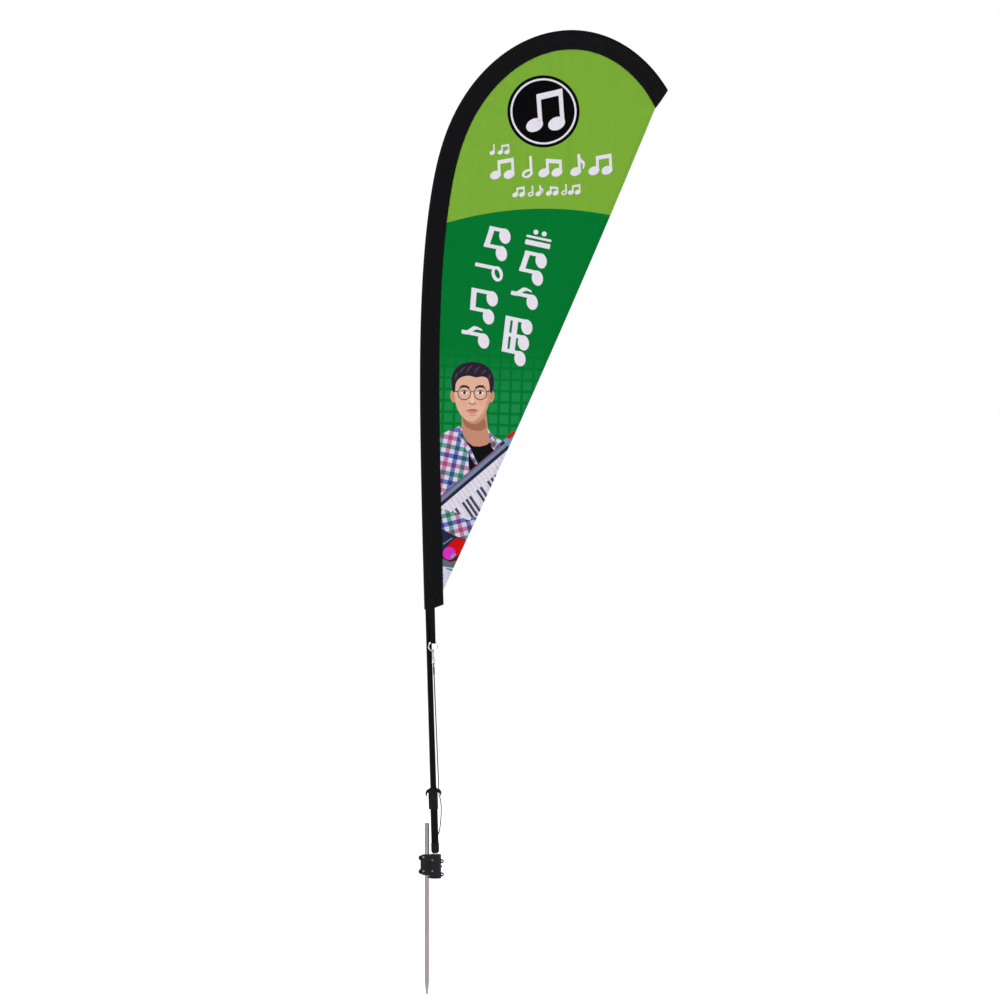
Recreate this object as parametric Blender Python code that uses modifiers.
"""Teardrop flag on a ground spike, as an assembly of separate parts.

Frame: metres, +Z up, +X towards the flag's free edge, the flag lies in the XZ plane.
The origin is on the spike's axis, at ground level under the bearing housing.
"""
import math

import bmesh
import bpy
from mathutils import Matrix, Vector

MM = 0.001
GAP = 0.3 * MM                     # left between solids that touch on the real object
CUT = 20 * MM                      # how far a cutter runs past what it cuts

# Ground spike
SPIKE_R = 6.0 * MM
SPIKE_TOP_Z = 143 * MM
SPIKE_TIP_Z = -302 * MM
SPIKE_TAPER = 33 * MM
SPIKE_POINT_R = 2.2 * MM
SPIKE_HEAD_CHAMFER = 1.0 * MM

# Bearing housing: two shells that meet on the plane Y = 0
HOUSING_TOP_Z = 62 * MM
BLOCK_LEFT_X = -16.6 * MM
BLOCK_BOTTOM_Z = 8.3 * MM
BLOCK_HALF_T = 9.0 * MM
BLOCK_CORNER = 5.0 * MM
BLOCK_STEP = 0.6 * MM
BARREL_WALL = 4.1 * MM
BARREL_LIP = 0.5 * MM
BARREL_LIP_H = 4.6 * MM
EAR_HALF_T = 4.5 * MM
LEFT_EARS = ((-15.6 * MM, 52.8 * MM), (-15.6 * MM, 17.2 * MM))
LEFT_EAR_R = 6.4 * MM
LEFT_EAR_DIMPLE_R = 2.6 * MM
LEFT_EAR_DIMPLE_DEPTH = 1.4 * MM
RIGHT_EARS = ((39.2 * MM, 44.0 * MM), (39.2 * MM, 9.8 * MM))
RIGHT_EAR_R = 5.0 * MM
RIGHT_EAR_HOLE_R = 2.0 * MM
NUB = (37.4 * MM, 30.2 * MM)
NUB_R = 2.4 * MM
RIB_PROUD = 1.0 * MM
RIB_W = 2.0 * MM
RIBS = ((-2.0 * MM, 40.0 * MM, 11.0 * MM, 40.0 * MM),
        (-2.0 * MM, 33.5 * MM, 11.0 * MM, 33.5 * MM),
        (-2.0 * MM, 27.0 * MM, 11.0 * MM, 27.0 * MM))

# Housing fasteners (M3)
SCREW_R = 1.5 * MM
SCREW_CLEAR_R = 1.75 * MM
SCREW_SEAT_Y = 8.0 * MM
SCREW_HEAD_R = 2.9 * MM
SCREW_HEAD_H = 2.2 * MM
SCREW_POCKET_R = 3.3 * MM
SCREW_SPIKE_WALL = 0.95 * MM
SCREW_SPINDLE_WALL = 0.75 * MM
SCREW_Z = {"top_left": -6.4 * MM, "top_right": -5.0 * MM, "bottom_left": 19.2 * MM, "bottom_right": 4.4 * MM}
NUT_AF = 5.5 * MM
NUT_H = 2.4 * MM
NUT_SEAT_Y = 6.4 * MM

# Spindle and its two 608 bearings
SPINDLE_X = 21.8 * MM
SHANK_R = 4.0 * MM
SPINDLE_BORE_R = SHANK_R + 1.0 * MM
BEARING_R = 11.0 * MM
BEARING_H = 7.0 * MM
BEARING_Z = {"lower": 8.4 * MM, "upper": HOUSING_TOP_Z - 9.6 * MM}
INNER_RACE_R = 5.9 * MM
OUTER_RACE_BORE_R = 9.1 * MM
BALL_CIRCLE_R = 7.5 * MM
BALL_R = 1.98 * MM
BALLS = 7
CAGE_HALF_W = 0.5 * MM
CAGE_HALF_H = 1.0 * MM
SPINDLE_FOOT_Z = 2.3 * MM
PIN_R = 5.5 * MM
PIN_L = 35 * MM
FLANGE_R = PIN_R + 1.3 * MM
FLANGE_H = 2.6 * MM
SHOULDER_R = SHANK_R + 1.6 * MM
SPINDLE_NUT_AF = 13 * MM
SPINDLE_NUT_H = 4.0 * MM
WASHER_R = 6.2 * MM
WASHER_H = 1.2 * MM
NUT_CHAMBER_R = 9.5 * MM
SEAL_H = 1.6 * MM
CAP_H = 1.6 * MM

# Pole foot, in the leaning frame of the pole (S runs up the pole's axis from its foot)
POLE_R = 8.2 * MM
FOOT_Z = HOUSING_TOP_Z + GAP + FLANGE_H + 0.1 * MM
LEAN = -0.030
FOOT_FLOOR_S = 0.7 * MM
FOOT_FLOOR_H = 3.4 * MM
FOOT_TUBE_WALL = 1.0 * MM
FOOT_TUBE_R = POLE_R + GAP + FOOT_TUBE_WALL
FOOT_TUBE_TOP_S = 150 * MM
FOOT_CAP_R = FOOT_TUBE_R + GAP + 0.8 * MM
FOOT_CAP_RIM_S = 26 * MM
PLUG_TOP_S = 36 * MM
PLUG_BORE_R = PIN_R + 1.45 * MM
FOOT_CAP_POINT_R = PLUG_BORE_R + 0.85 * MM

# Cleat collar
COLLAR_R = FOOT_TUBE_R + GAP + 1.2 * MM
COLLAR_BOTTOM_S = FOOT_TUBE_TOP_S - 35.4 * MM
COLLAR_SHOULDER_S = FOOT_TUBE_TOP_S + 8 * MM
COLLAR_FLANGE_R = COLLAR_R + 2.0 * MM
COLLAR_FLANGE_TOP_S = COLLAR_SHOULDER_S + 6 * MM
COLLAR_TOP_S = COLLAR_FLANGE_TOP_S + 6 * MM
COLLAR_TOP_R = POLE_R + 1.4 * MM
HORN_HALF_T = 4.5 * MM
SPINE_R = COLLAR_R + 2.4 * MM
SPINE_HALF_W = 3.5 * MM
CLEAT_HOLE_U = 14.0 * MM
CLEAT_HOLE_S = 168 * MM

# Pole: taper and the curvature stations of its centreline (arc length in m, curvature in 1/m)
POLE_FOOT_S = 0.110
TAPER_FROM_S = 0.150
TAPER = 0.0022
POLE_WALL = 1.7 * MM
BEND = ((0.60, 0.0), (1.10, 0.06), (1.50, 0.30), (1.70, 0.58), (1.90, 1.94),
        (2.10, 2.63), (2.35, 4.14), (2.62, 2.60))
LOWER_TOP_S = 0.980
MIDDLE_TOP_S = 1.830
SLEEVE_TIP_S = 2.620
POLE_TOP_S = SLEEVE_TIP_S - 16 * MM
LOWER_STEP = 0.090
UPPER_STEP = 0.045
FERRULE_WALL = 1.0 * MM
FERRULE_HALF_L = {"lower": 40 * MM, "upper": 30 * MM}
TIP_CAP_SIDE = 0.84 * MM
TIP_CAP_END = 3.0 * MM
TIP_CAP_L = 28 * MM
POCKET_WALL = 0.8 * MM
POCKET_L = 26 * MM

# Flag
SLEEVE_W = 51 * MM
SLEEVE_FOOT_S = 0.634
SLEEVE_CLOTH = 1.0 * MM
SLEEVE_EASE = 0.6 * MM
SLEEVE_OVER_POCKET = 0.9 * MM
SLEEVE_SEAM_HALF_T = 1.4 * MM
SLEEVE_SEAM_ALLOWANCE = 8 * MM
SLEEVE_END_WALL = 4.0 * MM
TIP_SLANT = 0.53
FOOT_SLANT = 0.33
FOOT_SLANT_FROM = 8 * MM
SLEEVE_STEPS = ((1.75, 0.062), (SLEEVE_TIP_S, 0.027))    # up to this arc length, stations this far apart
PANEL_T = 1.2 * MM
PANEL_FOOT_S = SLEEVE_FOOT_S + 50 * MM
PANEL_BULGE = 8 * MM
PANEL_SEAM_POINTS = 44
PANEL_EDGE_POINTS = 10

# Tension hardware
RING_CENTRE = Vector((16.4 * MM, -12.6 * MM, 603 * MM))
RING_MAJOR_R = 12.0 * MM
RING_WIRE_R = 1.4 * MM
STRAP_T = 1.2 * MM
STRAP_TOP_Z = FOOT_Z + SLEEVE_FOOT_S + 36 * MM
STRAP_JOIN_Z = RING_CENTRE.z + RING_MAJOR_R + 60 * MM
STRAP_TOP_X = 10.0 * MM
STRAP_TOP_W = 20 * MM
STRAP_RING_W = 13 * MM
STRAP_DROP = 2.2 * MM
HOOK_WIRE_R = 1.8 * MM
BOW_R = 5.0 * MM
HOOK_PLAY = 0.4 * MM
NOSE_Z = -5.8 * MM
BARREL_R = 4.2 * MM
BARREL_TOP_Z = -20.8 * MM
BARREL_BOTTOM_Z = -26.2 * MM
SWIVEL_R = 1.6 * MM
SWIVEL_HEAD_R = 2.5 * MM
SWIVEL_HEAD_H = 1.5 * MM
EAR_GAP_HALF = 1.5 * MM
EAR_T = 1.4 * MM
PIVOT = Vector((0.0, -4.9 * MM, -16.8 * MM))
PIVOT_PIN_R = 0.7 * MM
GATE_EYE_R = 1.9 * MM
GATE_WIRE_R = 1.1 * MM
GATE_TIP = Vector((0.0, -3.4 * MM, -4.6 * MM))
EYE_R = 3.6 * MM
EYE_WIRE_R = 1.1 * MM
EYE_Z = -31.2 * MM

# Tension cord: the points its centreline passes through, in metres
CORD_R = 1.5 * MM
CORD_STEP = 7 * MM
CORD_HOLE_EASE = 0.35 * MM
CORD_ROUTE = (
    (0.01887, -0.01043, 0.5295), (0.0218, -0.0078, 0.4555), (0.0248, -0.0052, 0.3818),
    (0.0278, -0.0026, 0.3078), (0.0298, -0.0009, 0.2584), (0.03076, 0.0, 0.2333),
    (0.0311, 0.0, 0.2224), (0.0313, 0.0, 0.2174), (0.0322, 0.0, 0.2129), (0.0338, 0.0, 0.2089),
    (0.0352, 0.0, 0.2040), (0.0363, 0.0, 0.1970), (0.0370, 0.0, 0.1870), (0.0372, 0.0, 0.1760),
    (0.0369, 0.0, 0.1640), (0.0361, 0.0, 0.1520), (0.0350, 0.0, 0.1410), (0.0338, 0.0, 0.1310),
    (0.0326, 0.0, 0.1235), (0.0310, 0.0, 0.1175), (0.0288, 0.0, 0.1130), (0.0266, 0.0, 0.1106))
CORD_SLOT_FROM = 16                # the route point from which the foot tube is slotted for the cord
KNOT_R = 3.0 * MM
CRIMP_HALF_X = 2.1 * MM
CRIMP_HALF_Y = 3.6 * MM
CRIMP_TOP_Z = -41.3 * MM
CRIMP_L = 20 * MM
LOOP_R = 3.0 * MM
LOOP_LEG_Y = 1.6 * MM

MATERIALS = {
    "bright_steel": ((0.62, 0.61, 0.61), 0.25, 1.0),
    "bearing_steel": ((0.55, 0.56, 0.58), 0.22, 1.0),
    "black_nylon": ((0.020, 0.020, 0.028), 0.45, 0.0),
    "black_paint": ((0.012, 0.012, 0.013), 0.35, 0.0),
    "black_rubber": ((0.015, 0.015, 0.015), 0.75, 0.0),
    "black_cloth": ((0.010, 0.010, 0.012), 0.85, 0.0),
    "printed_cloth": ((0.02, 0.22, 0.05), 0.80, 0.0),
    "cage_nylon": ((0.45, 0.36, 0.20), 0.5, 0.0),
}

PARTS = None
CUTTERS = None


def start_scene():
    """Empty the file and make the two collections."""
    global PARTS, CUTTERS
    for obj in list(bpy.data.objects):
        bpy.data.objects.remove(obj, do_unlink=True)
    PARTS = bpy.data.collections.new("teardrop_flag")
    CUTTERS = bpy.data.collections.new("cutters")
    bpy.context.scene.collection.children.link(PARTS)
    bpy.context.scene.collection.children.link(CUTTERS)


def material(name):
    """Return the named Principled material, made once."""
    if name in bpy.data.materials:
        return bpy.data.materials[name]
    colour, roughness, metallic = MATERIALS[name]
    mat = bpy.data.materials.new(name)
    mat.use_nodes = True
    shader = mat.node_tree.nodes["Principled BSDF"]
    shader.inputs["Base Color"].default_value = (*colour, 1.0)
    shader.inputs["Roughness"].default_value = roughness
    shader.inputs["Metallic"].default_value = metallic
    return mat


def empty(name, matrix, parent=None):
    """An empty that parts are placed under; matrix is in its parent's frame."""
    obj = bpy.data.objects.new(name, None)
    obj.empty_display_size = 10 * MM
    PARTS.objects.link(obj)
    obj.parent = parent
    obj.matrix_local = matrix
    return obj


def place(obj, parent, mat=None, shift=None):
    """Put an object under an empty: a part when it has a material, otherwise a cutter."""
    if mat:
        PARTS.objects.link(obj)
        obj.data.materials.clear()
        obj.data.materials.append(material(mat))
    else:
        CUTTERS.objects.link(obj)
        obj.hide_render = True
        obj.display_type = "WIRE"
    obj.parent = parent
    obj.matrix_local = shift or Matrix.Identity(4)
    return obj


def to_object(name, bm):
    """Turn a bmesh into an object with its faces pointing out, round ones shaded smooth."""
    bmesh.ops.recalc_face_normals(bm, faces=bm.faces)
    mesh = bpy.data.meshes.new(name)
    bm.to_mesh(mesh)
    bm.free()
    mesh.shade_smooth()
    mesh.set_sharp_from_angle(angle=math.radians(35))
    return bpy.data.objects.new(name, mesh)


def box(name, low, high):
    """A box between two corners."""
    bm = bmesh.new()
    bmesh.ops.create_cube(bm, size=1.0)
    low, high = Vector(low), Vector(high)
    bmesh.ops.transform(bm, matrix=Matrix.Translation((low + high) / 2) @ Matrix.Diagonal((high - low).to_4d()),
                        verts=bm.verts)
    return to_object(name, bm)


def cylinder(name, radius, start, end, sides=32):
    """A round bar from start to end."""
    start, end = Vector(start), Vector(end)
    bm = bmesh.new()
    bmesh.ops.create_cone(bm, cap_ends=True, segments=sides, radius1=radius, radius2=radius,
                          depth=(end - start).length)
    turn = (end - start).to_track_quat("Z", "Y").to_matrix().to_4x4()
    bmesh.ops.transform(bm, matrix=Matrix.Translation((start + end) / 2) @ turn, verts=bm.verts)
    return to_object(name, bm)


def turned(name, profile, sides=32, closed=False):
    """A Screw of a profile of (radius, height), listed down its outer side, top to bottom."""
    mesh = bpy.data.meshes.new(name)
    edges = [(i, i + 1) for i in range(len(profile) - 1)]
    if closed:
        edges.append((len(profile) - 1, 0))
    mesh.from_pydata([(r, 0.0, z) for r, z in profile], edges, [])
    obj = bpy.data.objects.new(name, mesh)
    screw = obj.modifiers.new("turn", "SCREW")
    screw.axis = "Z"
    screw.steps = sides
    screw.render_steps = sides
    screw.use_merge_vertices = True
    screw.merge_threshold = 0.00001
    screw.use_smooth_shade = True
    return obj


def ring_profile(inner, outer, low, high):
    """The closed profile of a plain ring."""
    return [(inner, high), (outer, high), (outer, low), (inner, low)]


def mesh_of(curve_obj):
    """Make a mesh object from a curve object, with its caps welded on."""
    bpy.context.scene.collection.objects.link(curve_obj)
    bpy.context.view_layer.update()
    evaluated = curve_obj.evaluated_get(bpy.context.evaluated_depsgraph_get())
    mesh = bpy.data.meshes.new_from_object(evaluated)
    name, matrix = curve_obj.name, curve_obj.matrix_world.copy()
    bpy.data.objects.remove(curve_obj, do_unlink=True)
    bm = bmesh.new()
    bm.from_mesh(mesh)
    bpy.data.meshes.remove(mesh)
    bmesh.ops.remove_doubles(bm, verts=bm.verts, dist=0.000001)
    bmesh.ops.transform(bm, matrix=matrix, verts=bm.verts)
    return to_object(name, bm)


def wire(name, points, radius, cyclic=False, resolution=2):
    """A round wire along points. radius is one number, or one for each point."""
    curve = bpy.data.curves.new(name, "CURVE")
    curve.dimensions = "3D"
    curve.bevel_depth = MM
    curve.bevel_resolution = resolution
    curve.use_fill_caps = not cyclic
    spline = curve.splines.new("POLY")
    spline.points.add(len(points) - 1)
    for i, point in enumerate(points):
        spline.points[i].co = (*point, 1.0)
        spline.points[i].radius = (radius[i] if isinstance(radius, list) else radius) / MM
    spline.use_cyclic_u = cyclic
    return mesh_of(bpy.data.objects.new(name, curve))


def plate(name, outlines, low, high, frame=None):
    """A flat plate: the first outline in XY is its edge, the others are holes; low to high in Z."""
    curve = bpy.data.curves.new(name, "CURVE")
    curve.dimensions = "2D"
    curve.fill_mode = "BOTH"
    curve.extrude = (high - low) / 2
    for outline in outlines:
        spline = curve.splines.new("POLY")
        spline.points.add(len(outline) - 1)
        for i, (x, y) in enumerate(outline):
            spline.points[i].co = (x, y, 0.0, 1.0)
        spline.use_cyclic_u = True
    obj = bpy.data.objects.new(name, curve)
    obj.matrix_world = (frame or Matrix.Identity(4)) @ Matrix.Translation((0, 0, (low + high) / 2))
    return mesh_of(obj)


UPRIGHT = Matrix.Rotation(math.pi / 2, 4, "X")        # takes a plate's XY to XZ, and its Z to -Y
SIDEWAYS = Matrix(((0, 0, 1, 0), (1, 0, 0, 0), (0, 1, 0, 0), (0, 0, 0, 1)))   # XY to YZ, Z to X


def combine(obj, other, operation):
    """Add a Boolean of another object, which is a cutter."""
    modifier = obj.modifiers.new(operation.lower(), "BOOLEAN")
    modifier.operation = operation
    modifier.solver = "EXACT"
    modifier.object = other


def join(obj, parent, *others):
    """Fuse other shapes to an object."""
    for other in others:
        combine(obj, place(other, parent), "UNION")


def cut(obj, parent, *others):
    """Cut other shapes from an object."""
    for other in others:
        combine(obj, place(other, parent), "DIFFERENCE")


def arc(centre, radius, start, end, steps):
    """Points on an arc in a plane, angles in degrees."""
    return [(centre[0] + radius * math.cos(math.radians(start + (end - start) * i / steps)),
             centre[1] + radius * math.sin(math.radians(start + (end - start) * i / steps)))
            for i in range(steps + 1)]


# The pole's centreline, in the frame of its foot (origin at the foot, X right, Z up)
FINE = 2 * MM


def curvature(s):
    """Curvature of the centreline at arc length s, straight below the first station."""
    if s <= BEND[0][0]:
        return 0.0
    for (s0, k0), (s1, k1) in zip(BEND, BEND[1:]):
        if s <= s1:
            return k0 + (k1 - k0) * (s - s0) / (s1 - s0)
    return BEND[-1][1]


def trace_centreline():
    """Integrate the curvature to a table of (x, z, heading), one row each FINE metres."""
    table = [(0.0, 0.0, LEAN)]
    for i in range(math.ceil((SLEEVE_TIP_S + SLEEVE_W) / FINE)):
        x, z, heading = table[-1]
        turn = curvature((i + 0.5) * FINE) * FINE
        table.append((x + math.sin(heading + turn / 2) * FINE, z + math.cos(heading + turn / 2) * FINE,
                      heading + turn))
    return table


CENTRELINE = trace_centreline()


def along(s):
    """Point and heading at arc length s."""
    i = min(int(s / FINE), len(CENTRELINE) - 2)
    f = s / FINE - i
    return [a + (b - a) * f for a, b in zip(CENTRELINE[i], CENTRELINE[i + 1])]


def beside(s, n, y=0.0):
    """The point at arc length s, n towards the inside of the bend, y across the flag."""
    x, z, heading = along(s)
    return Vector((x + n * math.cos(heading), y, z - n * math.sin(heading)))


def chord_frame(start, end):
    """The frame midway between two arc lengths, with +Z along the chord."""
    a, b = beside(start, 0.0), beside(end, 0.0)
    return Matrix.Translation((a + b) / 2) @ (b - a).to_track_quat("Z", "Y").to_matrix().to_4x4()


def pole_radius(s):
    """Outer radius of the tapered pole."""
    return POLE_R - TAPER * max(0.0, s - TAPER_FROM_S)


def stations(start, end, step):
    """Arc lengths from start to end, on the multiples of step between them."""
    first = math.floor(start / step) + 1
    last = math.ceil(end / step) - 1
    return [start] + [i * step for i in range(first, last + 1)] + [end]


def swept(name, spots, radius_at):
    """A solid along the pole's centreline, through the arc lengths in spots."""
    return wire(name, [beside(s, 0.0) for s in spots], [radius_at(s) for s in spots], resolution=5)


# ---- Parts ----

def make_spike(world):
    """The ground spike: a plain rod with a long blunt point."""
    place(turned("ground_spike", [
        (0.0, SPIKE_TOP_Z), (SPIKE_R - SPIKE_HEAD_CHAMFER, SPIKE_TOP_Z),
        (SPIKE_R, SPIKE_TOP_Z - SPIKE_HEAD_CHAMFER), (SPIKE_R, SPIKE_TIP_Z + SPIKE_TAPER),
        (SPIKE_POINT_R, SPIKE_TIP_Z), (0.0, SPIKE_TIP_Z)], sides=32), world, "bright_steel")


def bearing_bore():
    """The cutter for the spindle's bore, bearing seats, nut chamber and cap recess."""
    seat_r = BEARING_R + GAP
    cap_top = CAP_H + GAP
    lower_seat = BEARING_Z["lower"] - GAP
    lower_top = BEARING_Z["lower"] + BEARING_H + GAP
    upper_seat = BEARING_Z["upper"] - GAP
    return turned("bearing_bore", [
        (0.0, HOUSING_TOP_Z + CUT), (seat_r, HOUSING_TOP_Z + CUT), (seat_r, upper_seat),
        (SPINDLE_BORE_R, upper_seat), (SPINDLE_BORE_R, lower_top), (seat_r, lower_top),
        (seat_r, lower_seat), (NUT_CHAMBER_R, lower_seat), (NUT_CHAMBER_R, cap_top),
        (seat_r, cap_top), (seat_r, -CUT), (0.0, -CUT)])


def ear(name, centre, radius, inner_x):
    """A flat ear with a round end, and the web that joins it to the block."""
    x, z = centre
    start = -90 if x > inner_x else 90
    end = arc((x, z), radius, start, start + 180, 10)
    return plate(name, [end + [(inner_x, end[-1][1]), (inner_x, end[0][1])]],
                 -EAR_HALF_T, EAR_HALF_T, UPRIGHT)


def screw_places():
    """X and Z of the screws: two beside the spike, two beside the spindle, clear of the bearing seats."""
    left = -(SPIKE_R + SCREW_SPIKE_WALL + SCREW_CLEAR_R)
    right = SPINDLE_X - SPINDLE_BORE_R - SCREW_SPINDLE_WALL - SCREW_CLEAR_R
    return ((left, HOUSING_TOP_Z + SCREW_Z["top_left"]), (right, BEARING_Z["upper"] + SCREW_Z["top_right"]),
            (left, SCREW_Z["bottom_left"]), (right, BEARING_Z["lower"] + BEARING_H + SCREW_Z["bottom_right"]))


def make_housing_shell(name, side, world, spindle_frame):
    """One shell of the housing: side -1 is the front (towards -Y), +1 the rear."""
    left, bottom, top, c = BLOCK_LEFT_X, BLOCK_BOTTOM_Z, HOUSING_TOP_Z, BLOCK_CORNER
    low, high = bottom + BLOCK_STEP, top - BLOCK_STEP
    spike_barrel_r = SPIKE_R + GAP + BARREL_WALL
    barrel_r = BEARING_R + GAP + BARREL_WALL
    lip_r = barrel_r + BARREL_LIP
    outline = [(left, low + c), (left, high - c), (left + c, high), (SPINDLE_X, high),
               (SPINDLE_X, low), (left + c, low)]
    shell = plate(name, [outline], -BLOCK_HALF_T, BLOCK_HALF_T, UPRIGHT)
    place(shell, world, "black_nylon")
    join(shell, world, cylinder("spike_barrel", spike_barrel_r, (0, 0, bottom), (0, 0, top - BLOCK_STEP / 2), 32))
    barrel = turned("bearing_barrel", [
        (0.0, top), (barrel_r - MM, top), (barrel_r, top - MM), (barrel_r, BARREL_LIP_H),
        (lip_r, BARREL_LIP_H - BARREL_LIP), (lip_r, 0.0), (0.0, 0.0)])
    join(shell, spindle_frame, barrel)
    for centre in LEFT_EARS:
        join(shell, world, ear("left_ear", centre, LEFT_EAR_R, BLOCK_LEFT_X + BLOCK_CORNER))
    for centre in RIGHT_EARS:
        join(shell, world, ear("right_ear", centre, RIGHT_EAR_R, SPINDLE_X + SPINDLE_BORE_R + MM))
    join(shell, world, cylinder("nub", NUB_R, (NUB[0], -EAR_HALF_T, NUB[1]), (NUB[0], EAR_HALF_T, NUB[1]), 16))
    if side < 0:
        for x0, z0, x1, z1 in RIBS:
            across = Vector((z1 - z0, x0 - x1)).normalized() * RIB_W / 2
            corners = [(x0 + across.x, z0 + across.y), (x1 + across.x, z1 + across.y),
                       (x1 - across.x, z1 - across.y), (x0 - across.x, z0 - across.y)]
            join(shell, world, plate("rib", [corners], BLOCK_HALF_T - MM,
                                     spike_barrel_r + RIB_PROUD, UPRIGHT))
    # everything on the other side of the parting plane comes away
    reach = 80 * MM
    away = (0.0, reach) if side < 0 else (-reach, 0.0)
    cut(shell, world, box("parting", (-reach, away[0] - GAP / 2, -reach), (reach, away[1] + GAP / 2, 2 * reach)))
    cut(shell, world, cylinder("spike_bore", SPIKE_R + GAP, (0, 0, -CUT), (0, 0, top + CUT)))
    cut(shell, spindle_frame, bearing_bore())
    for x, z in screw_places():
        cut(shell, world, cylinder("screw_hole", SCREW_CLEAR_R, (x, -CUT, z), (x, CUT, z), 16))
        if side < 0:
            cut(shell, world, cylinder("head_pocket", SCREW_POCKET_R, (x, -SCREW_SEAT_Y - CUT, z),
                                       (x, -SCREW_SEAT_Y, z), 20))
        else:
            cut(shell, world, cylinder("nut_pocket", NUT_AF / math.sqrt(3) + GAP, (x, NUT_SEAT_Y, z),
                                       (x, NUT_SEAT_Y + CUT, z), 6))
    for x, z in RIGHT_EARS:
        cut(shell, world, cylinder("ear_hole", RIGHT_EAR_HOLE_R, (x, -CUT, z), (x, CUT, z), 16))
    for x, z in LEFT_EARS:
        dimple_y = side * (EAR_HALF_T - LEFT_EAR_DIMPLE_DEPTH)
        x_dimple = x - MM
        cut(shell, world, cylinder("ear_dimple", LEFT_EAR_DIMPLE_R, (x_dimple, dimple_y, z),
                                   (x_dimple, dimple_y + side * LEFT_EAR_R, z), 16))


def make_housing_fasteners(world):
    """Four pan-head screws from the front and the nuts in the rear shell's pockets."""
    facing = Matrix.Rotation(-math.pi / 2, 4, "X")     # local +Z to world +Y
    seat = -SCREW_SEAT_Y - GAP
    tip = NUT_SEAT_Y + GAP + NUT_H + MM / 2
    head = [(0.0, tip), (SCREW_R - 0.3 * MM, tip), (SCREW_R, tip - 0.3 * MM), (SCREW_R, seat),
            (SCREW_HEAD_R, seat), (SCREW_HEAD_R, seat - SCREW_HEAD_H * 0.5),
            (SCREW_HEAD_R * 0.75, seat - SCREW_HEAD_H), (0.0, seat - SCREW_HEAD_H)]
    for i, (x, z) in enumerate(screw_places(), start=1):
        spot = Matrix.Translation((x, 0, z)) @ facing
        place(turned(f"housing_screw_{i}", head, sides=16), world, "bright_steel", spot)
        low = NUT_SEAT_Y + GAP
        nut = cylinder(f"housing_nut_{i}", NUT_AF / math.sqrt(3), (0, 0, low), (0, 0, low + NUT_H), 6)
        place(nut, world, "bright_steel", spot)
        bore = cylinder("nut_bore", SCREW_R + GAP, (x, -CUT, z), (x, CUT, z), 16)
        cut(nut, world, bore)


def make_bearing(which, spindle_frame):
    """A ball bearing: outer race, inner race, and the balls in their cage."""
    low = BEARING_Z[which]
    mid, high = low + BEARING_H / 2, low + BEARING_H
    groove = BALL_R + GAP
    start_in = math.degrees(math.asin(min(1.0, (BALL_CIRCLE_R - INNER_RACE_R) / groove)))
    inner_groove = arc((BALL_CIRCLE_R, mid), groove, 90 + start_in, 270 - start_in, 4)
    start_out = math.degrees(math.asin(min(1.0, (OUTER_RACE_BORE_R - BALL_CIRCLE_R) / groove)))
    outer_groove = arc((BALL_CIRCLE_R, mid), groove, -90 + start_out, 90 - start_out, 4)
    outer = [(OUTER_RACE_BORE_R, high), (BEARING_R, high), (BEARING_R, low), (OUTER_RACE_BORE_R, low)]
    place(turned(f"{which}_bearing_outer_race", outer + outer_groove, sides=28, closed=True),
          spindle_frame, "bearing_steel")
    inner = [(SHANK_R + GAP, high), (INNER_RACE_R, high)] + inner_groove
    inner += [(INNER_RACE_R, low), (SHANK_R + GAP, low)]
    place(turned(f"{which}_bearing_inner_race", inner, sides=28, closed=True), spindle_frame, "bearing_steel")
    cage = turned(f"{which}_bearing_ball_cage", ring_profile(
        BALL_CIRCLE_R - CAGE_HALF_W, BALL_CIRCLE_R + CAGE_HALF_W, mid - CAGE_HALF_H, mid + CAGE_HALF_H),
        sides=3 * BALLS, closed=True)
    place(cage, spindle_frame, "cage_nylon")
    bm = bmesh.new()
    for i in range(BALLS):
        turn = Matrix.Rotation(math.tau * i / BALLS, 4, "Z") @ Matrix.Translation((BALL_CIRCLE_R, 0, mid))
        bmesh.ops.create_uvsphere(bm, u_segments=8, v_segments=5, radius=BALL_R, matrix=turn)
    join(cage, spindle_frame, to_object("balls", bm))


def make_spindle(spindle_frame):
    """The spindle with its nut, washer, seal and the cap under it."""
    shoulder_z = BEARING_Z["upper"] + BEARING_H + GAP
    flange_z = HOUSING_TOP_Z + GAP
    flange_top = flange_z + FLANGE_H
    pin_top = FOOT_Z + PIN_L
    place(turned("spindle", [
        (0.0, pin_top), (PIN_R - MM, pin_top), (PIN_R, pin_top - 2 * MM), (PIN_R, flange_top),
        (FLANGE_R, flange_top), (FLANGE_R, flange_z), (SHOULDER_R, flange_z), (SHOULDER_R, shoulder_z),
        (SHANK_R, shoulder_z), (SHANK_R, SPINDLE_FOOT_Z), (0.0, SPINDLE_FOOT_Z)]),
        spindle_frame, "bright_steel")
    washer_top = BEARING_Z["lower"] - GAP
    nut_top = washer_top - WASHER_H - GAP
    place(turned("spindle_washer", ring_profile(SHANK_R + GAP, WASHER_R, washer_top - WASHER_H, washer_top),
                 sides=28, closed=True), spindle_frame, "bright_steel")
    nut = cylinder("spindle_nut", SPINDLE_NUT_AF / math.sqrt(3), (0, 0, nut_top - SPINDLE_NUT_H),
                   (0, 0, nut_top), 6)
    place(nut, spindle_frame, "bright_steel")
    cut(nut, spindle_frame, cylinder("spindle_nut_bore", SHANK_R + GAP, (0, 0, -CUT), (0, 0, CUT), 28))
    seal_z = shoulder_z
    place(turned("spindle_seal", ring_profile(SHOULDER_R + GAP, BEARING_R, seal_z, seal_z + SEAL_H),
                 closed=True), spindle_frame, "black_rubber")
    place(turned("housing_bottom_cap", [(0.0, CAP_H), (BEARING_R, CAP_H), (BEARING_R, 0.0), (0.0, 0.0)]),
          spindle_frame, "black_nylon")


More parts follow.
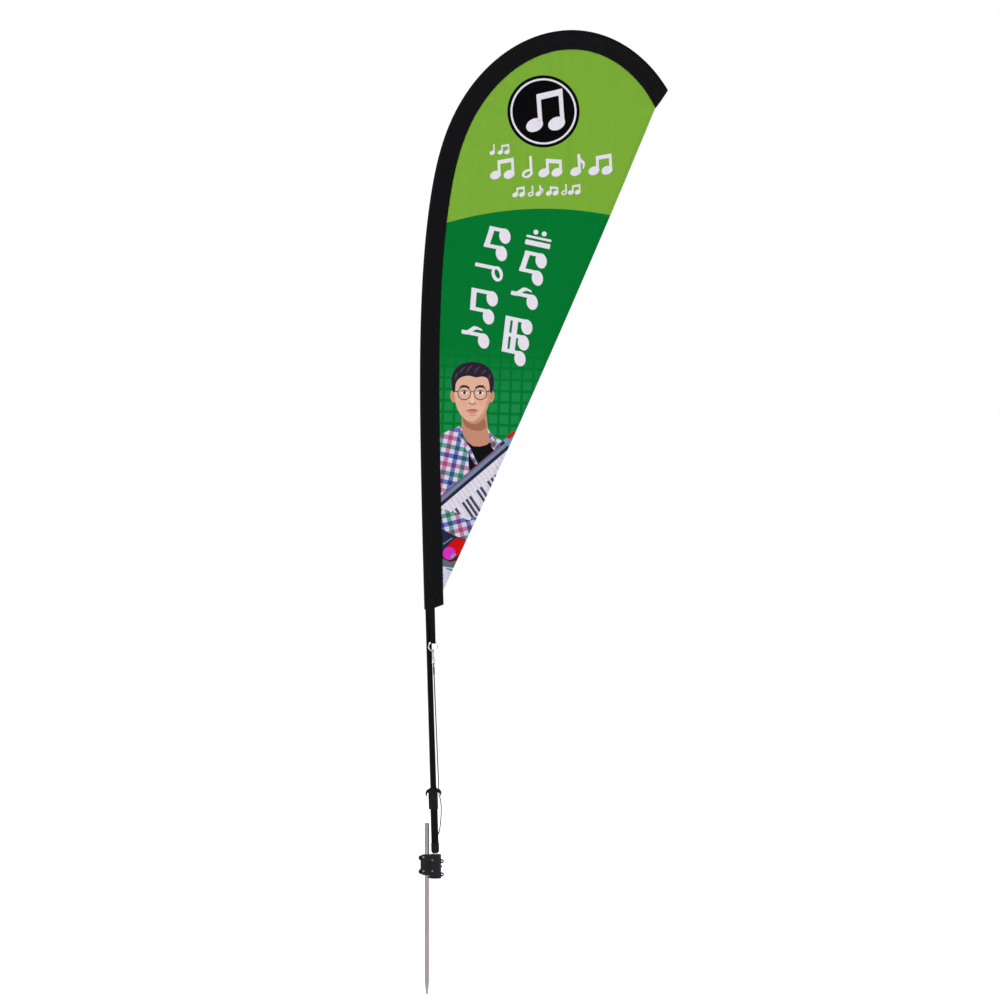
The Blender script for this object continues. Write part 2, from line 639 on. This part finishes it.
def make_foot(foot):
    """The foot cap with its plug around the spindle's pin, and the foot tube."""
    bore_r = FOOT_TUBE_R - FOOT_TUBE_WALL
    floor = FOOT_FLOOR_S + FOOT_FLOOR_H
    place(turned("foot_cap", [
        (FOOT_TUBE_R + GAP, FOOT_CAP_RIM_S), (FOOT_CAP_R, FOOT_CAP_RIM_S), (FOOT_CAP_R, 7 * MM),
        (FOOT_CAP_R - 0.6 * MM, 4 * MM), (FOOT_CAP_R - 1.6 * MM, 2 * MM), (FOOT_CAP_POINT_R, FOOT_FLOOR_S),
        (PLUG_BORE_R, FOOT_FLOOR_S), (PLUG_BORE_R, PLUG_TOP_S), (bore_r - GAP, PLUG_TOP_S),
        (bore_r - GAP, floor), (FOOT_TUBE_R + GAP, floor)], closed=True), foot, "black_nylon")
    tube = turned("foot_tube", ring_profile(bore_r, FOOT_TUBE_R, floor + GAP, FOOT_TUBE_TOP_S), closed=True)
    place(tube, foot, "black_paint")
    return tube


def horn(name, side):
    """One arm of the cleat, with its down-turned horn, in the foot frame's XZ plane."""
    root = POLE_R / MM + 1.3
    outline = [(root, 10.0), (14.5, 8.6), (18.4, 5.4), (20.7, 1.0), (21.1, -3.5), (19.8, -7.5),
               (18.4, -10.8), (17.5, -10.4), (17.0, -7.0), (16.6, -3.5), (15.2, -0.6), (root, 0.0)]
    return plate(name, [[(side * u * MM, COLLAR_SHOULDER_S + s * MM) for u, s in outline]],
                 -HORN_HALF_T, HORN_HALF_T, UPRIGHT)


def make_collar(foot):
    """The cleat collar that joins the foot tube to the pole."""
    pole_r = POLE_R + GAP
    seat = FOOT_TUBE_TOP_S + GAP
    collar = turned("cleat_collar", [
        (pole_r, COLLAR_TOP_S), (COLLAR_TOP_R, COLLAR_TOP_S), (COLLAR_FLANGE_R - 2 * MM, COLLAR_FLANGE_TOP_S + 2 * MM),
        (COLLAR_FLANGE_R, COLLAR_FLANGE_TOP_S), (COLLAR_FLANGE_R, COLLAR_SHOULDER_S),
        (COLLAR_R, COLLAR_SHOULDER_S), (COLLAR_R, COLLAR_BOTTOM_S), (FOOT_TUBE_R + GAP, COLLAR_BOTTOM_S),
        (FOOT_TUBE_R + GAP, seat), (pole_r, seat)], closed=True)
    place(collar, foot, "black_nylon")
    spine = box("collar_spine", (-SPINE_R, -SPINE_HALF_W, COLLAR_BOTTOM_S),
                (-FOOT_TUBE_R - GAP - MM / 4, SPINE_HALF_W, COLLAR_SHOULDER_S + MM))
    join(collar, foot, horn("horn_left", -1), horn("horn_right", 1), spine)
    clear = cylinder("collar_pole_clearance", pole_r, (0, 0, seat), (0, 0, COLLAR_TOP_S + CUT), 32)
    cut(collar, foot, clear)
    cut(collar, foot, cylinder("cleat_hole", CORD_R + CORD_HOLE_EASE, (CLEAT_HOLE_U, 0, COLLAR_SHOULDER_S - 12 * MM),
                               (CLEAT_HOLE_U, 0, COLLAR_TOP_S + CUT), 16))


def make_pole(base):
    """The three pole sections, the ferrules between them, and the cap on the tip."""
    lower = swept("pole_lower", stations(POLE_FOOT_S, LOWER_TOP_S, LOWER_STEP), pole_radius)
    place(lower, base, "black_paint")
    # the hollow runs past both ends, straight on from the foot
    hollow = [POLE_FOOT_S - CUT] + stations(POLE_FOOT_S, LOWER_TOP_S, LOWER_STEP)[1:-1] + [LOWER_TOP_S + CUT]
    cut(lower, base, swept("pole_hollow", hollow, lambda s: pole_radius(s) - POLE_WALL))
    place(swept("pole_middle", stations(LOWER_TOP_S + GAP, MIDDLE_TOP_S, UPPER_STEP), pole_radius),
          base, "black_paint")
    tip_spots = stations(MIDDLE_TOP_S + GAP, POLE_TOP_S - TIP_CAP_L, UPPER_STEP) + [POLE_TOP_S]
    place(swept("pole_top", tip_spots, pole_radius), base, "black_paint")
    for which, joint_s in (("lower", LOWER_TOP_S), ("upper", MIDDLE_TOP_S)):
        half = FERRULE_HALF_L[which]
        start, end = joint_s - half, joint_s + half
        bore_r = pole_radius(start) + GAP
        spots = stations(start, joint_s, UPPER_STEP) + stations(joint_s, end, UPPER_STEP)[1:]
        ferrule = swept(f"{which}_ferrule", spots, lambda s, r=bore_r: r + FERRULE_WALL)
        place(ferrule, base, "bright_steel")
        through = [start - CUT / 2] + spots + [end + CUT / 2]
        cut(ferrule, base, swept("ferrule_bore", through, lambda s, r=bore_r: r))


def make_tip(base):
    """The rubber cap on the pole's tip and the webbing pocket that it pushes into."""
    tip = empty("tip_frame", chord_frame(POLE_TOP_S - TIP_CAP_L, POLE_TOP_S), base)
    mouth, bore_end = -TIP_CAP_L / 2, TIP_CAP_L / 2 + GAP
    cap_end = bore_end + TIP_CAP_END
    cap_bore = pole_radius(POLE_TOP_S - TIP_CAP_L) + GAP
    cap_r = cap_bore + TIP_CAP_SIDE
    place(turned("tip_cap", [
        (0.0, cap_end), (cap_r - MM, cap_end), (cap_r, cap_end - MM), (cap_r, mouth),
        (cap_bore, mouth), (cap_bore, bore_end), (0.0, bore_end)], sides=20), tip, "black_rubber")
    pocket_end = cap_end + GAP
    low = pocket_end - POCKET_L
    outer = pocket_radius()
    bore = outer - POCKET_WALL
    place(turned("tip_pocket", [
        (0.0, pocket_end + POCKET_WALL), (outer - MM, pocket_end + POCKET_WALL),
        (outer, pocket_end + POCKET_WALL - MM), (outer, low), (bore, low), (bore, pocket_end),
        (0.0, pocket_end)], sides=20), tip, "black_cloth")


def pocket_radius():
    """Outer radius of the tip pocket, which holds the cap on the pole's tip."""
    return pole_radius(POLE_TOP_S - TIP_CAP_L) + GAP + TIP_CAP_SIDE + GAP + POCKET_WALL


def sleeve_bore(s):
    """Inner radius of the sleeve: round the pole, its ferrules and the tip pocket."""
    round_pole = pole_radius(s) + GAP + FERRULE_WALL + SLEEVE_EASE
    return max(round_pole, pocket_radius() + SLEEVE_OVER_POCKET)


def seam_n(s):
    """How far the sleeve's inner seam is from the pole's centreline."""
    return SLEEVE_W - sleeve_bore(s) - SLEEVE_CLOTH


def foot_cut(n):
    """Arc length of the sleeve's bottom edge, which slants up towards the flag."""
    return SLEEVE_FOOT_S + FOOT_SLANT * max(0.0, n - FOOT_SLANT_FROM)


def tip_cut(n):
    """Arc length of the sleeve's top edge, which slants past the pole's tip towards the flag."""
    return SLEEVE_TIP_S + TIP_SLANT * (n + sleeve_bore(SLEEVE_TIP_S) + SLEEVE_CLOTH)


def drop_section(radius, seam, half_t):
    """A teardrop section (n, y): half a circle round the pole, then straight to the seam."""
    return arc((0.0, 0.0), radius, 90, 270, 8) + [(seam, -half_t), (seam, half_t)]


def make_sleeve(base):
    """The pole sleeve: a teardrop tube of cloth, open at the foot and closed at the tip."""
    bm = bmesh.new()
    outer, inner = [], []
    inset = SLEEVE_SEAM_HALF_T - SLEEVE_CLOTH
    spots = [SLEEVE_FOOT_S]
    for limit, step in SLEEVE_STEPS:
        count = round((limit - spots[-1]) / step)
        spots += [spots[-1] + (limit - spots[-1]) * i / count for i in range(1, count + 1)]
    for middle in spots:
        f = (middle - SLEEVE_FOOT_S) / (SLEEVE_TIP_S - SLEEVE_FOOT_S)
        for rings, wall in ((outer, 0.0), (inner, SLEEVE_CLOTH)):
            ring = []
            radius = sleeve_bore(middle) + SLEEVE_CLOTH - wall
            seam = seam_n(middle) - (SLEEVE_SEAM_ALLOWANCE if wall else 0.0)
            for n, y in drop_section(radius, seam, inset if wall else SLEEVE_SEAM_HALF_T):
                end = tip_cut(n) - (SLEEVE_END_WALL if wall else 0.0)
                ring.append(bm.verts.new(beside(foot_cut(n) + f * (end - foot_cut(n)), n, y)))
            rings.append(ring)
    count = len(outer[0])
    for rings in (outer, inner):
        for a, b in zip(rings, rings[1:]):
            for j in range(count):
                k = (j + 1) % count
                bm.faces.new((a[j], a[k], b[k], b[j]))
        bm.faces.new(rings[-1])
    for j in range(count):
        k = (j + 1) % count
        bm.faces.new((outer[0][j], outer[0][k], inner[0][k], inner[0][j]))
    place(to_object("pole_sleeve", bm), base, "black_cloth")


def make_panel(base):
    """The printed panel: a flat sheet from the sleeve's seam to the free edge."""
    top_s = tip_cut(seam_n(SLEEVE_TIP_S) + GAP)
    seam = []
    for i in range(PANEL_SEAM_POINTS + 1):
        s = PANEL_FOOT_S + (top_s - PANEL_FOOT_S) * i / PANEL_SEAM_POINTS
        seam.append(beside(s, seam_n(min(s, SLEEVE_TIP_S)) + GAP + MM / 4))
    top, foot = seam[-1], seam[0]
    chord = foot - top
    outward = Vector((-chord.z, 0.0, chord.x)).normalized()
    edge = []
    for i in range(1, PANEL_EDGE_POINTS):
        f = i / PANEL_EDGE_POINTS
        edge.append(top + chord * f + outward * PANEL_BULGE * 4 * f * (1 - f))
    outline = [(p.x, p.z) for p in seam + edge]
    place(plate("flag_panel", [outline], -PANEL_T / 2, PANEL_T / 2, UPRIGHT), base, "printed_cloth")


def make_strap(world):
    """The webbing loop that ties the sleeve's foot to the ring, narrowed where it passes the ring."""
    y = RING_CENTRE.y
    low = RING_CENTRE.z + RING_MAJOR_R - STRAP_DROP
    slot = RING_WIRE_R + GAP
    sleeve_front = -(sleeve_bore(SLEEVE_FOOT_S) + SLEEVE_CLOTH + GAP + MM / 10)
    back, mid, front = sleeve_front, sleeve_front - STRAP_T, sleeve_front - 2 * STRAP_T
    outline = arc((y, low), slot + STRAP_T, 180, 360, 8)
    outline += [(back, STRAP_JOIN_Z), (back, STRAP_TOP_Z), (front, STRAP_TOP_Z), (front, STRAP_JOIN_Z)]
    hole = arc((y, low), slot, 180, 360, 6) + [(mid, STRAP_JOIN_Z - 3 * MM)]
    strap = plate("strap_loop", [outline, hole], -0.5, 0.5, SIDEWAYS)
    for vert in strap.data.vertices:
        f = (vert.co.z - low) / (STRAP_TOP_Z - low)
        width = STRAP_RING_W + (STRAP_TOP_W - STRAP_RING_W) * f
        middle = RING_CENTRE.x + (STRAP_TOP_X - RING_CENTRE.x) * f
        vert.co.x = middle + vert.co.x * width
    place(strap, world, "black_cloth")


def make_ring(ring_frame):
    """The split ring's plain stand-in: a round wire ring facing the viewer, hung from its top."""
    circle = [Vector((x, 0.0, z)) for x, z in arc((0.0, -RING_MAJOR_R), RING_MAJOR_R, 0, 360, 28)[:-1]]
    place(wire("tension_ring", circle, RING_WIRE_R, cyclic=True), ring_frame, "bright_steel")


def hook_ear(name, side):
    """One of the two ears that carry the gate's pin."""
    inner, outer = sorted((side * EAR_GAP_HALF, side * (EAR_GAP_HALF + EAR_T)))
    return box(name, (inner, PIVOT.y - 1.6 * MM, BARREL_TOP_Z - MM), (outer, PIVOT.y + 1.6 * MM, PIVOT.z + 2.0 * MM))


def make_hook(hook):
    """The snap hook's body, its gate and pin, and the swivel eye under it."""
    r = BOW_R + HOOK_WIRE_R
    bow_z = RING_WIRE_R + HOOK_PLAY - BOW_R
    path = [(-r, NOSE_Z)] + arc((0.0, bow_z), r, 180, 0, 12)
    path += [(r, -11 * MM), (r - 0.3 * MM, -15 * MM), (r - 1.1 * MM, -19.5 * MM), (3.4 * MM, -23.6 * MM)]
    body = wire("hook_body", [Vector((0.0, y, z)) for y, z in path], HOOK_WIRE_R, resolution=3)
    place(body, hook, "bright_steel")
    outer = EAR_GAP_HALF + EAR_T
    block = box("hook_base", (-outer, PIVOT.y - 1.6 * MM, BARREL_BOTTOM_Z + MM), (outer, -1.0 * MM, BARREL_TOP_Z))
    join(body, hook, cylinder("hook_barrel", BARREL_R, (0, 0, BARREL_BOTTOM_Z), (0, 0, BARREL_TOP_Z), 24),
         block, hook_ear("hook_ear_left", -1), hook_ear("hook_ear_right", 1))
    cut(body, hook, cylinder("swivel_bore", SWIVEL_R + GAP, (0, 0, BARREL_BOTTOM_Z - MM), (0, 0, BARREL_TOP_Z + MM), 16),
        cylinder("pin_bore", PIVOT_PIN_R + GAP, PIVOT - Vector((CUT, 0, 0)), PIVOT + Vector((CUT, 0, 0)), 12))
    pin_end = Vector((outer + MM / 4, 0, 0))
    place(cylinder("gate_pin", PIVOT_PIN_R, PIVOT - pin_end, PIVOT + pin_end, 12), hook, "bright_steel")
    gate_frame = empty("gate_frame", Matrix.Translation(PIVOT), hook)
    tip = GATE_TIP - PIVOT
    gate = wire("hook_gate", [tip * 0.08, tip * 0.5, tip], GATE_WIRE_R)
    place(gate, gate_frame, "bright_steel")
    half = Vector((EAR_GAP_HALF - GAP, 0, 0))
    join(gate, gate_frame, cylinder("gate_eye", GATE_EYE_R, -half, half, 16))
    cut(gate, gate_frame, cylinder("gate_bore", PIVOT_PIN_R + GAP, half * -4, half * 4, 12))
    circle = [Vector((x, 0.0, z)) for x, z in arc((0.0, EYE_Z), EYE_R, 0, 360, 20)[:-1]]
    eye = wire("swivel_eye", circle, EYE_WIRE_R, cyclic=True)
    place(eye, hook, "bright_steel")
    head_z = BARREL_TOP_Z + GAP
    join(eye, hook, turned("swivel_shank", [
        (0.0, head_z + SWIVEL_HEAD_H), (SWIVEL_HEAD_R - MM / 2, head_z + SWIVEL_HEAD_H),
        (SWIVEL_HEAD_R, head_z + SWIVEL_HEAD_H / 2), (SWIVEL_HEAD_R, head_z), (SWIVEL_R, head_z),
        (SWIVEL_R, EYE_Z + EYE_R - EYE_WIRE_R / 2), (0.0, EYE_Z + EYE_R - EYE_WIRE_R / 2)], sides=16))


def smooth_route(points, step):
    """A smooth curve through the route's points, read about every step metres."""
    points = [Vector(p) for p in points]
    ends = [2 * points[0] - points[1]] + points + [2 * points[-1] - points[-2]]
    curve = [points[0]]
    for p0, p1, p2, p3 in zip(ends, ends[1:], ends[2:], ends[3:]):
        count = max(1, round((p2 - p1).length / step))
        for i in range(1, count + 1):
            t = i / count
            curve.append(0.5 * (2 * p1 + (p2 - p0) * t + (2 * p0 - 5 * p1 + 4 * p2 - p3) * t ** 2
                                + (3 * p1 - p0 - 3 * p2 + p3) * t ** 3))
    return curve


def make_cord(world, hook, foot, foot_tube):
    """The elastic cord, its loop and crimp at the swivel eye, and the knot inside the foot tube."""
    wire_z = EYE_Z - EYE_R
    over = [Vector((0.0, y, z)) for y, z in arc((0.0, wire_z), LOOP_R, 180, 0, 8)]
    down = [Vector((0.0, LOOP_R - 0.4 * MM, wire_z - 2.4 * MM)), Vector((0.0, LOOP_LEG_Y, CRIMP_TOP_Z + 2 * MM)),
            Vector((0.0, LOOP_LEG_Y, CRIMP_TOP_Z + GAP))]
    other = [Vector((0.0, -p.y, p.z)) for p in reversed(down)]
    place(wire("cord_loop", other + over + down, CORD_R), hook, "black_cloth")
    straight = CRIMP_HALF_Y - CRIMP_HALF_X
    capsule = arc((0.0, straight), CRIMP_HALF_X, 0, 180, 8) + arc((0.0, -straight), CRIMP_HALF_X, 180, 360, 8)
    place(plate("cord_crimp", [capsule], CRIMP_TOP_Z - CRIMP_L, CRIMP_TOP_Z), hook, "black_rubber")
    place(wire("tension_cord", smooth_route(CORD_ROUTE, CORD_STEP), CORD_R), world, "black_cloth")
    last, before = Vector(CORD_ROUTE[-1]), Vector(CORD_ROUTE[-2])
    inwards = (last - before).normalized()
    bm = bmesh.new()
    bmesh.ops.create_uvsphere(bm, u_segments=16, v_segments=10, radius=KNOT_R,
                              matrix=Matrix.Translation(last + inwards * (KNOT_R + GAP)))
    place(to_object("cord_knot", bm), world, "black_cloth")
    slot = [Vector(p) for p in CORD_ROUTE[CORD_SLOT_FROM:]]
    slot.append(last + inwards * KNOT_R)
    combine(foot_tube, place(wire("cord_slot", slot, CORD_R + CORD_HOLE_EASE, resolution=3), world), "DIFFERENCE")


def hook_matrix():
    """The hook's frame: origin at the ring's lowest wire, -Z down the cord's line of pull."""
    hole = Matrix.Translation((SPINDLE_X, 0, FOOT_Z)) @ Matrix.Rotation(LEAN, 4, "Y") @ Vector(
        (CLEAT_HOLE_U, 0, CLEAT_HOLE_S))
    start = RING_CENTRE - Vector((0, 0, RING_MAJOR_R))
    up = (start - hole).normalized()
    across = Vector((1, 0, 0)) - up * up.x
    across.normalize()
    turn = Matrix((across, up.cross(across), up)).transposed().to_4x4()
    return Matrix.Translation(start) @ turn


def main():
    """Build every part."""
    start_scene()
    world = empty("spike_frame", Matrix.Identity(4))
    spindle_frame = empty("spindle_frame", Matrix.Translation((SPINDLE_X, 0, 0)), world)
    base = empty("pole_frame", Matrix.Translation((SPINDLE_X, 0, FOOT_Z)), world)
    foot = empty("foot_frame", Matrix.Rotation(LEAN, 4, "Y"), base)
    ring_frame = empty("ring_frame", Matrix.Translation(RING_CENTRE + Vector((0, 0, RING_MAJOR_R))), world)
    hook = empty("hook_frame", hook_matrix(), world)
    make_spike(world)
    make_housing_shell("housing_front", -1, world, spindle_frame)
    make_housing_shell("housing_rear", 1, world, spindle_frame)
    make_housing_fasteners(world)
    make_bearing("lower", spindle_frame)
    make_bearing("upper", spindle_frame)
    make_spindle(spindle_frame)
    foot_tube = make_foot(foot)
    make_collar(foot)
    make_pole(base)
    make_tip(base)
    make_sleeve(base)
    make_panel(base)
    make_strap(world)
    make_ring(ring_frame)
    make_hook(hook)
    make_cord(world, hook, foot, foot_tube)


main()
